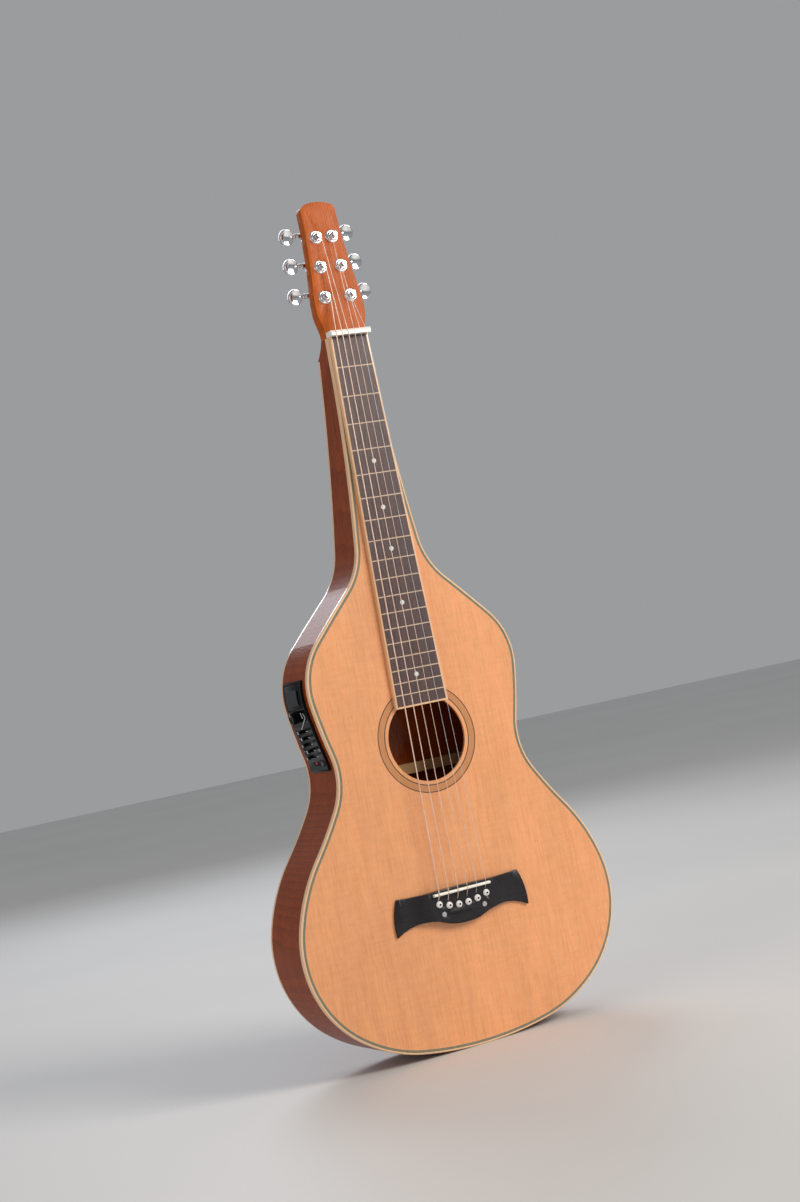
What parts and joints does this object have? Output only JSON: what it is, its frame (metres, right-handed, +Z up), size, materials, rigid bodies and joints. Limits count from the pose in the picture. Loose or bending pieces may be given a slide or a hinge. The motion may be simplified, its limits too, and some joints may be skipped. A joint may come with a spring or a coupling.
{
  "type": "hollow-neck lap steel guitar",
  "caption": "Hollow-neck acoustic lap steel guitar with round soundhole, flush-line fingerboard, bat-wing bridge, geared tuners and a side preamp.",
  "frame": {"origin": "centre of the bounding box at the tail's lowest point, which the guitar stands on", "axes": "+Z runs up along the strings to the headstock, the soundboard faces -Y, +X is the treble side and the preamp is on the -X side"},
  "size_m": [0.3984, 0.1008, 0.969],
  "materials": {
    "spruce": "gloss lacquer over straight vertical grain",
    "mahogany": "gloss lacquer, red-brown",
    "mahogany_neck": "satin lacquer, orange-brown",
    "mahogany_raw": "bare sanded wood",
    "maple": "gloss lacquered light binding",
    "maple_raw": "bare sanded wood",
    "purfling": "dyed grey-green line under lacquer",
    "rosette_line": "dyed dark line under lacquer",
    "rosette_band": "lacquered wood inlay",
    "lining": "bare kerfed strip",
    "brace_spruce": "bare sanded spruce",
    "rosewood": "oiled open-pored fingerboard",
    "fret_inlay": "light flush inlay",
    "ebony": "buffed near-black wood",
    "pearl": "pearl",
    "bone": "polished bone",
    "pin_ivory": "glossy off-white pins with a dark centre dot",
    "pickup_strip": "braided strip",
    "bronze": "wound phosphor bronze",
    "steel": "plain steel wire",
    "chrome": "polished chrome plate",
    "gloss_black": "moulded glossy black",
    "case_black": "moulded matte black",
    "battery_jacket": "printed jacket",
    "red_lens": "clear red lens",
    "lead_black": "soft cable sheath",
    "button_grey": "soft-touch button",
    "slider_black": "moulded cap with a white line"
  },
  "bodies": {
    "root": {"soundboard": "spruce", "back_plate": "mahogany", "side_bass": "mahogany", "side_treble": "mahogany", "top_binding": "maple", "back_binding": "maple", "top_purfling": "purfling", "rosette_lines": "rosette_line", "rosette_band": "rosette_band", "tail_block": "mahogany_raw", "neck_block": "mahogany_neck", "top_linings": "lining", "back_linings": "lining", "soundboard_braces": "brace_spruce", "back_braces": "brace_spruce", "bridge_plate": "maple_raw", "fingerboard": "rosewood", "fingerboard_binding": "maple", "fret_lines": "fret_inlay", "position_dots": "pearl", "nut": "bone", "headstock": "mahogany_neck", "bridge": "ebony", "saddle": "bone", "saddle_pickup": "pickup_strip", "bridge_pins": "pin_ivory", "bridge_dots": "pearl", "wound_strings": "bronze", "plain_strings": "steel", "tuner_bushings": "chrome", "tuner_housings": "chrome", "tuner_screws": "chrome", "preamp_panel": "gloss_black", "preamp_case": "case_black", "battery": "battery_jacket", "battery_lamp": "red_lens", "end_jack": "chrome", "pickup_leads": "lead_black"},
    "post_1": {"post_1": "chrome"},
    "button_1": {"button_1": "chrome"},
    "post_2": {"post_2": "chrome"},
    "button_2": {"button_2": "chrome"},
    "post_3": {"post_3": "chrome"},
    "button_3": {"button_3": "chrome"},
    "post_4": {"post_4": "chrome"},
    "button_4": {"button_4": "chrome"},
    "post_5": {"post_5": "chrome"},
    "button_5": {"button_5": "chrome"},
    "post_6": {"post_6": "chrome"},
    "button_6": {"button_6": "chrome"},
    "tone_slider_1": {"tone_slider_1": "slider_black"},
    "tone_slider_2": {"tone_slider_2": "slider_black"},
    "tone_slider_3": {"tone_slider_3": "slider_black"},
    "tone_slider_4": {"tone_slider_4": "slider_black"},
    "tone_slider_5": {"tone_slider_5": "slider_black"},
    "volume_knob": {"volume_knob": "gloss_black"},
    "tuner_button": {"tuner_button": "button_grey"},
    "battery_door": {"battery_door": "gloss_black"}
  },
  "joints": [
    {"name": "button_1_turn", "type": "hinge", "parent": "root", "child": "button_1", "pos_m": [-0.04365, -0.01402, 0.86367], "axis": [-1, 0, 0], "continuous": true},
    {"name": "post_1_turn", "type": "hinge", "parent": "root", "child": "post_1", "pos_m": [-0.01625, -0.03304, 0.85651], "axis": [0, -0.9978, 0.0663], "continuous": true},
    {"name": "button_2_turn", "type": "hinge", "parent": "root", "child": "button_2", "pos_m": [-0.0405, -0.01165, 0.89929], "axis": [-1, 0, 0], "continuous": true},
    {"name": "post_2_turn", "type": "hinge", "parent": "root", "child": "post_2", "pos_m": [-0.0131, -0.03067, 0.89213], "axis": [0, -0.9978, 0.0663], "continuous": true},
    {"name": "button_3_turn", "type": "hinge", "parent": "root", "child": "button_3", "pos_m": [-0.0376, -0.00932, 0.93441], "axis": [-1, 0, 0], "continuous": true},
    {"name": "post_3_turn", "type": "hinge", "parent": "root", "child": "post_3", "pos_m": [-0.0102, -0.02834, 0.92726], "axis": [0, -0.9978, 0.0663], "continuous": true},
    {"name": "button_4_turn", "type": "hinge", "parent": "root", "child": "button_4", "pos_m": [0.0376, -0.00932, 0.93441], "axis": [1, 0, 0], "continuous": true},
    {"name": "post_4_turn", "type": "hinge", "parent": "root", "child": "post_4", "pos_m": [0.0102, -0.02834, 0.92726], "axis": [0, -0.9978, 0.0663], "continuous": true},
    {"name": "button_5_turn", "type": "hinge", "parent": "root", "child": "button_5", "pos_m": [0.0405, -0.01165, 0.89929], "axis": [1, 0, 0], "continuous": true},
    {"name": "post_5_turn", "type": "hinge", "parent": "root", "child": "post_5", "pos_m": [0.0131, -0.03067, 0.89213], "axis": [0, -0.9978, 0.0663], "continuous": true},
    {"name": "button_6_turn", "type": "hinge", "parent": "root", "child": "button_6", "pos_m": [0.04365, -0.01402, 0.86367], "axis": [1, 0, 0], "continuous": true},
    {"name": "post_6_turn", "type": "hinge", "parent": "root", "child": "post_6", "pos_m": [0.01625, -0.03304, 0.85651], "axis": [0, -0.9978, 0.0663], "continuous": true},
    {"name": "tone_slider_1_slide", "type": "slide", "parent": "root", "child": "tone_slider_1", "axis": [0, 1, 0], "range_m": [-0.013, 0.007]},
    {"name": "tone_slider_2_slide", "type": "slide", "parent": "root", "child": "tone_slider_2", "axis": [0, 1, 0], "range_m": [-0.01, 0.01]},
    {"name": "tone_slider_3_slide", "type": "slide", "parent": "root", "child": "tone_slider_3", "axis": [0, 1, 0], "range_m": [-0.015, 0.005]},
    {"name": "tone_slider_4_slide", "type": "slide", "parent": "root", "child": "tone_slider_4", "axis": [0, 1, 0], "range_m": [-0.009, 0.011]},
    {"name": "tone_slider_5_slide", "type": "slide", "parent": "root", "child": "tone_slider_5", "axis": [0, 1, 0], "range_m": [-0.017, 0.003]},
    {"name": "volume_turn", "type": "hinge", "parent": "root", "child": "volume_knob", "pos_m": [-0.13233, 0.00728, 0.39754], "axis": [-0.9865, 0, -0.164], "range_deg": [-140, 140]},
    {"name": "tuner_button_press", "type": "slide", "parent": "root", "child": "tuner_button", "axis": [0.9873, 0, 0.1587], "range_m": [0, 0.001], "stiffness_N_per_m": 250, "springref_m": -0.001},
    {"name": "battery_door_swing", "type": "hinge", "parent": "root", "child": "battery_door", "pos_m": [-0.13252, 0.00278, 0.43321], "axis": [0, 1, 0], "range_deg": [0, 100]}
  ],
  "couplings": [
    {"joint": "post_1_turn", "follows": "button_1_turn", "ratio": 0.071429},
    {"joint": "post_2_turn", "follows": "button_2_turn", "ratio": 0.071429},
    {"joint": "post_3_turn", "follows": "button_3_turn", "ratio": 0.071429},
    {"joint": "post_4_turn", "follows": "button_4_turn", "ratio": 0.071429},
    {"joint": "post_5_turn", "follows": "button_5_turn", "ratio": 0.071429},
    {"joint": "post_6_turn", "follows": "button_6_turn", "ratio": 0.071429}
  ]
}
